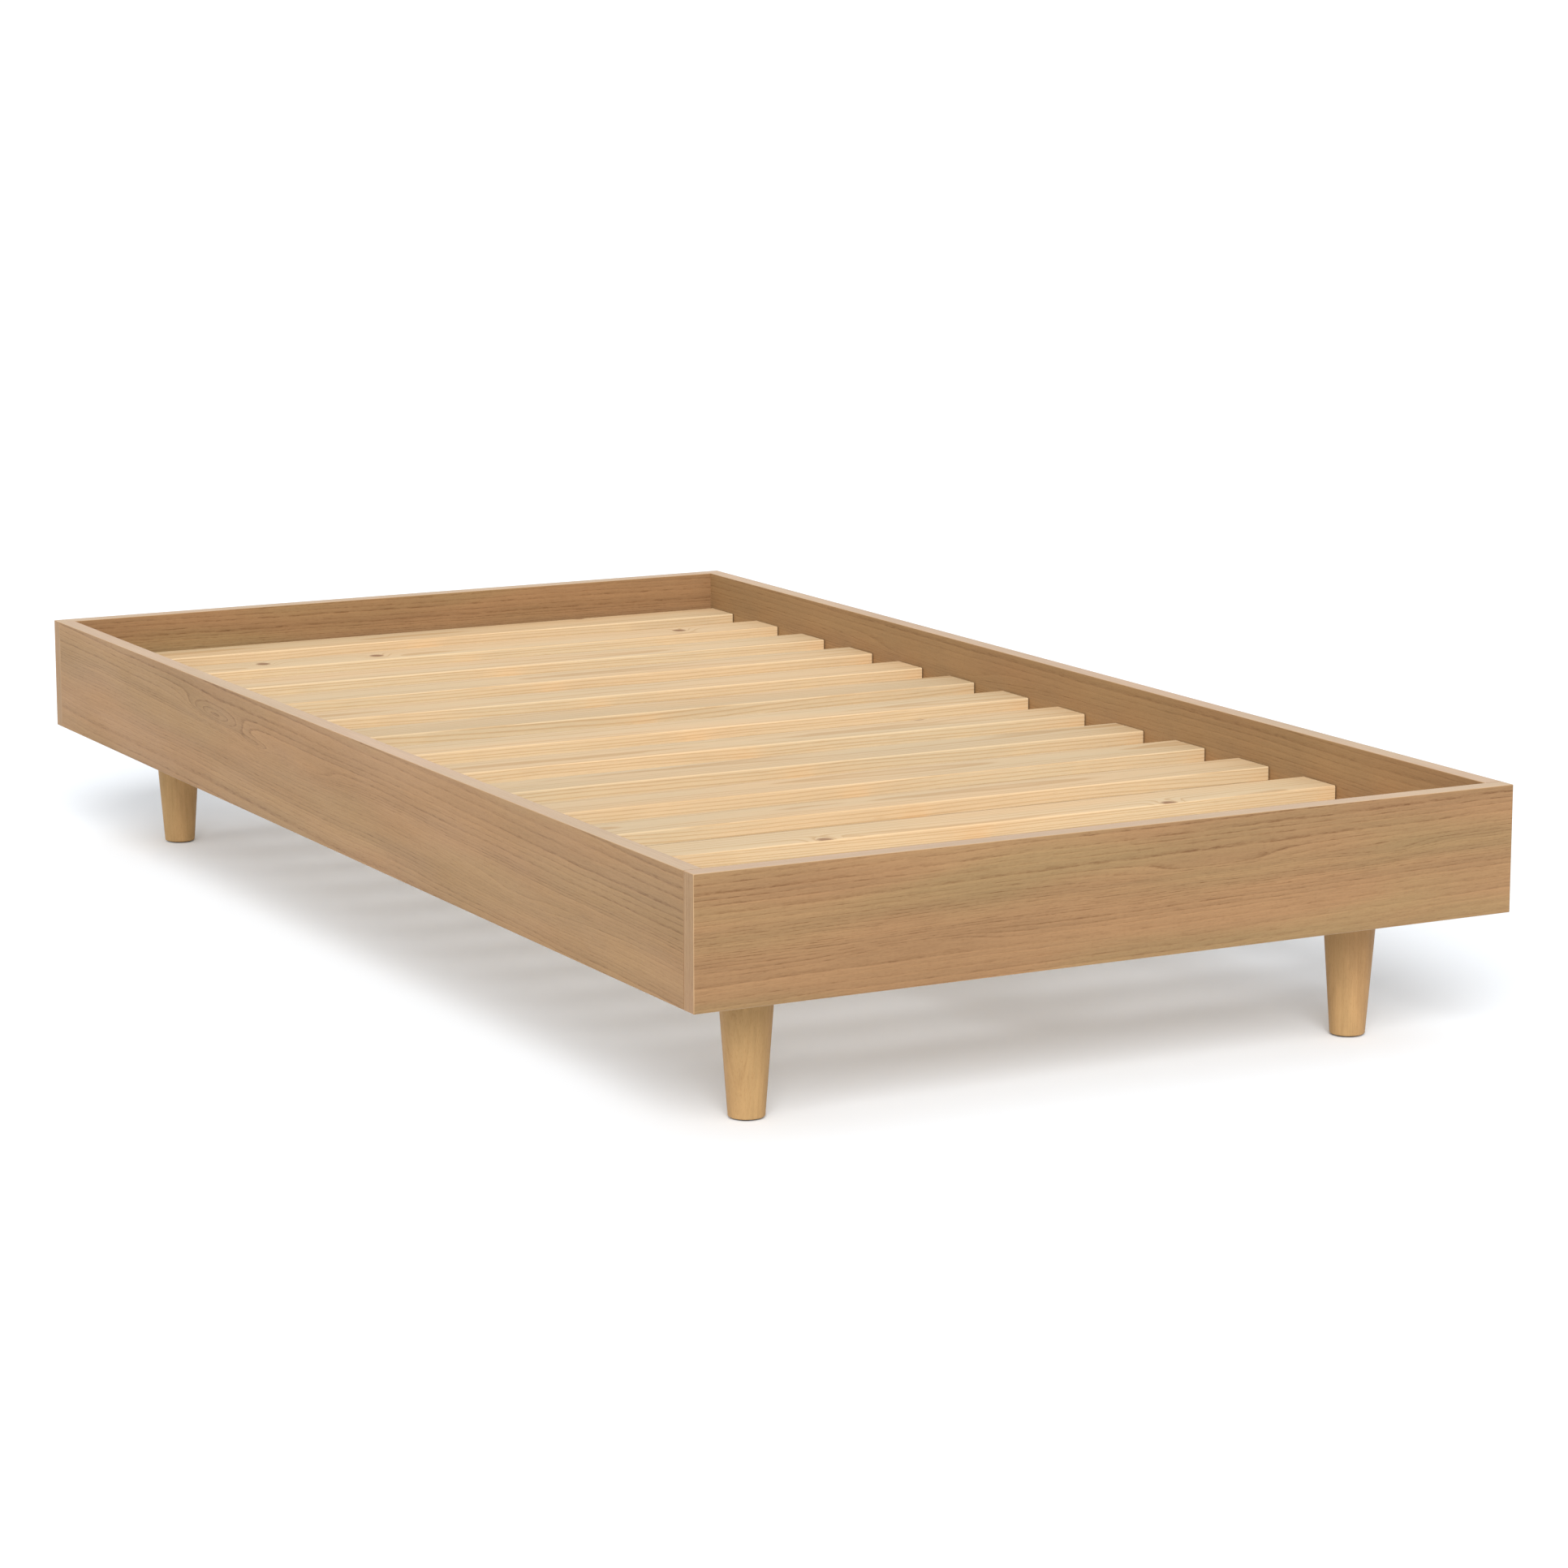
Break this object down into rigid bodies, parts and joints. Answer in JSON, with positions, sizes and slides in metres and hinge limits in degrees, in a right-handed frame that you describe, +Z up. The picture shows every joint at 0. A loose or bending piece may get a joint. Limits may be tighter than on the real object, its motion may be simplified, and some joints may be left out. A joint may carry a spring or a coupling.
{
  "type": "bed frame",
  "caption": "Low platform bed frame: flat oak boards round a slatted mattress deck, on round tapered corner legs.",
  "frame": {"origin": "on the floor under the middle of the bed (centre of the bounding box's bottom)", "axes": "+Z up, +Y along the bed from the foot end to the head end, +X across the bed"},
  "size_m": [1.056, 1.98, 0.307],
  "materials": {
    "oak_veneer": "matte lacquered oak veneer",
    "oak_solid": "matte lacquered solid oak",
    "pine": "planed, untreated",
    "slat_pine": "planed, untreated",
    "birch_plywood": "sanded",
    "beech": "turned",
    "zinc_steel": "zinc plated",
    "glide_nylon": "moulded nylon",
    "black_nylon": "moulded nylon",
    "webbing": "woven polyester webbing"
  },
  "bodies": {
    "root": {"foot_panel": "oak_veneer", "head_panel": "oak_veneer", "side_rail_left": "oak_veneer", "side_rail_right": "oak_veneer", "leg_foot_left": "oak_solid", "leg_glide_foot_left": "glide_nylon", "leg_plate_foot_left": "zinc_steel", "leg_board_foot_left": "birch_plywood", "corner_block_foot_left": "pine", "leg_foot_right": "oak_solid", "leg_glide_foot_right": "glide_nylon", "leg_plate_foot_right": "zinc_steel", "leg_board_foot_right": "birch_plywood", "corner_block_foot_right": "pine", "leg_head_right": "oak_solid", "leg_glide_head_right": "glide_nylon", "leg_plate_head_right": "zinc_steel", "leg_board_head_right": "birch_plywood", "corner_block_head_right": "pine", "leg_head_left": "oak_solid", "leg_glide_head_left": "glide_nylon", "leg_plate_head_left": "zinc_steel", "leg_board_head_left": "birch_plywood", "corner_block_head_left": "pine", "side_ledger_left": "pine", "side_ledger_right": "pine", "end_ledger_foot": "pine", "end_ledger_head": "pine", "centre_beam": "pine", "centre_leg": "pine", "slat_01": "slat_pine", "slat_02": "slat_pine", "slat_03": "slat_pine", "slat_04": "slat_pine", "slat_05": "slat_pine", "slat_06": "slat_pine", "slat_07": "slat_pine", "slat_08": "slat_pine", "slat_09": "slat_pine", "slat_10": "slat_pine", "slat_11": "slat_pine", "slat_12": "slat_pine", "slat_13": "slat_pine", "slat_14": "slat_pine", "rail_dowels": "beech", "beam_hanger_foot": "zinc_steel", "beam_hanger_head": "zinc_steel", "wood_screws": "zinc_steel", "plate_screws": "zinc_steel", "corner_bolts": "zinc_steel", "corner_inserts": "zinc_steel", "strap_staples": "zinc_steel", "leg_bolts": "zinc_steel", "threaded_sleeves": "zinc_steel", "strap_left": "webbing", "strap_right": "webbing"},
    "levelling_foot": {"leveller_pad": "black_nylon"},
    "levelling_screw": {"leveller_stem": "zinc_steel"}
  },
  "joints": [
    {"name": "foot_travel", "type": "slide", "parent": "root", "child": "levelling_foot", "axis": [0, 0, 1], "range_m": [-0.012, 0.006]},
    {"name": "screw_turn", "type": "hinge", "parent": "levelling_foot", "child": "levelling_screw", "pos_m": [0, 0, 0.02], "axis": [0, 0, 1], "range_deg": [-3460, 1730]}
  ],
  "couplings": [
    {"joint": "screw_turn", "follows": "foot_travel", "rad_per_m": 5026.5}
  ]
}
